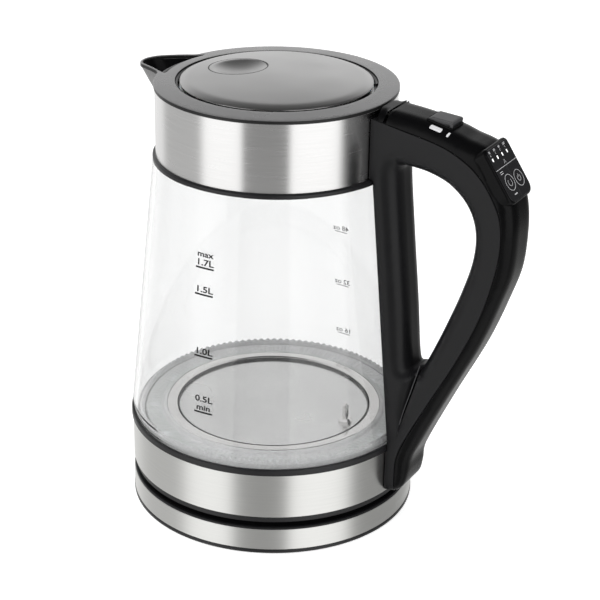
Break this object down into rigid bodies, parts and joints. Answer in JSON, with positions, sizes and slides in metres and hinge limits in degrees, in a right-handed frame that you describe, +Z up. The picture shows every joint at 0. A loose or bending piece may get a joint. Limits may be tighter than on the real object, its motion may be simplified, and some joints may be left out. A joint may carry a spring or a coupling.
{
  "type": "electric kettle",
  "caption": "Cordless electric kettle: tapered glass jug with steel bands, spout, hinged lid and loop handle with keys, on a round power base",
  "frame": {"origin": "on the jug's vertical axis, at the surface the power base stands on", "axes": "+Z up, +X toward the handle, -X toward the spout, +Y toward the back notch of the base where a cord leaves"},
  "size_m": [0.2265, 0.1586, 0.2429],
  "materials": {
    "black_plastic": "satin black moulded plastic",
    "grey_rim": "satin warm-grey metallic coating on plastic",
    "brushed_steel": "stainless steel, brushed around the jug",
    "lid_steel": "satin stainless steel",
    "polished_steel": "bright stainless steel",
    "glass": "clear borosilicate glass",
    "light_ring": "clear crimped plastic light ring",
    "silicone": "translucent white silicone rubber",
    "rubber": "black anti-slip rubber",
    "gloss_black": "glossy black plastic",
    "button_plastic": "matt dark plastic",
    "white_plastic": "white heat-proof plastic",
    "brass": "brass contact metal",
    "board": "green printed circuit board",
    "lamp": "clear diode lens",
    "element": "sheathed heating element",
    "wire": "insulated wire",
    "screw_steel": "zinc-plated steel"
  },
  "bodies": {
    "power_base": {"base_bottom_cover": "black_plastic", "base_top_cover": "black_plastic", "base_steel_band": "brushed_steel", "anti_slip_ring": "rubber", "base_coupler": "black_plastic", "base_contacts": "brass", "base_wires": "wire", "base_screws": "screw_steel", "cord_gland": "rubber"},
    "coupler": {"jug_coupler": "black_plastic", "jug_contacts": "brass"},
    "lid": {"lid_cover": "lid_steel", "lid_inner_cover": "black_plastic", "lid_gasket": "silicone", "lid_screws": "screw_steel"},
    "release_button": {"lid_button": "button_plastic"},
    "latch": {"latch_slider": "white_plastic"},
    "power_key": {"power_key": "gloss_black"},
    "keep_warm_key": {"keep_warm_key": "gloss_black"},
    "jug": {"jug_bottom_cover": "black_plastic", "bottom_screws": "screw_steel", "lower_band": "brushed_steel", "seat_ring": "black_plastic", "lower_gasket": "silicone", "glass_jug": "glass", "light_ring": "light_ring", "led_board": "board", "led_lamps": "lamp", "heating_plate": "polished_steel", "plate_gasket": "silicone", "plate_clamp": "screw_steel", "heating_element": "element", "element_terminals": "brass", "thermal_cutout": "white_plastic", "temperature_probe": "polished_steel", "probe_nut": "screw_steel", "upper_gasket": "silicone", "upper_collar": "brushed_steel", "collar_ring": "black_plastic", "rim": "grey_rim", "lid_well": "black_plastic", "spout_filter": "black_plastic", "filter_mesh": "polished_steel", "hinge_pins": "screw_steel", "lid_springs": "screw_steel", "handle_inner_shell": "black_plastic", "handle_outer_cover": "gloss_black", "handle_cap": "gloss_black", "handle_screws": "screw_steel", "handle_wires": "wire", "control_board": "board", "key_switches": "button_plastic", "panel_frame": "gloss_black", "panel_window": "gloss_black", "panel_lamps": "lamp", "button_spring": "screw_steel", "latch_spring": "screw_steel"}
  },
  "joints": [
    {"name": "lift", "type": "slide", "parent": "power_base", "child": "coupler", "axis": [0, 0, 1], "range_m": [0, 0.1]},
    {"name": "swivel", "type": "hinge", "parent": "coupler", "child": "jug", "pos_m": [0, 0, 0.0183], "axis": [0, 0, 1], "continuous": true},
    {"name": "lid_hinge", "type": "hinge", "parent": "jug", "child": "lid", "pos_m": [0.0565, 0, 0.2335], "axis": [0, 1, 0], "range_deg": [0, 80]},
    {"name": "button_press", "type": "slide", "parent": "jug", "child": "release_button", "axis": [-0.2147, 0, -0.9767], "range_m": [0, 0.0025], "stiffness_N_per_m": 600, "deforming": ["button_spring"]},
    {"name": "latch_slide", "type": "slide", "parent": "jug", "child": "latch", "axis": [1, 0, 0], "range_m": [0, 0.003], "stiffness_N_per_m": 200, "deforming": ["latch_spring"]},
    {"name": "power_key_press", "type": "slide", "parent": "jug", "child": "power_key", "axis": [-0.829, 0, -0.5592], "range_m": [0, 0.0006], "stiffness_N_per_m": 1500},
    {"name": "keep_warm_key_press", "type": "slide", "parent": "jug", "child": "keep_warm_key", "axis": [-0.829, 0, -0.5592], "range_m": [0, 0.0006], "stiffness_N_per_m": 1500}
  ],
  "couplings": [
    {"joint": "latch_slide", "follows": "button_press", "ratio": 1.2}
  ]
}
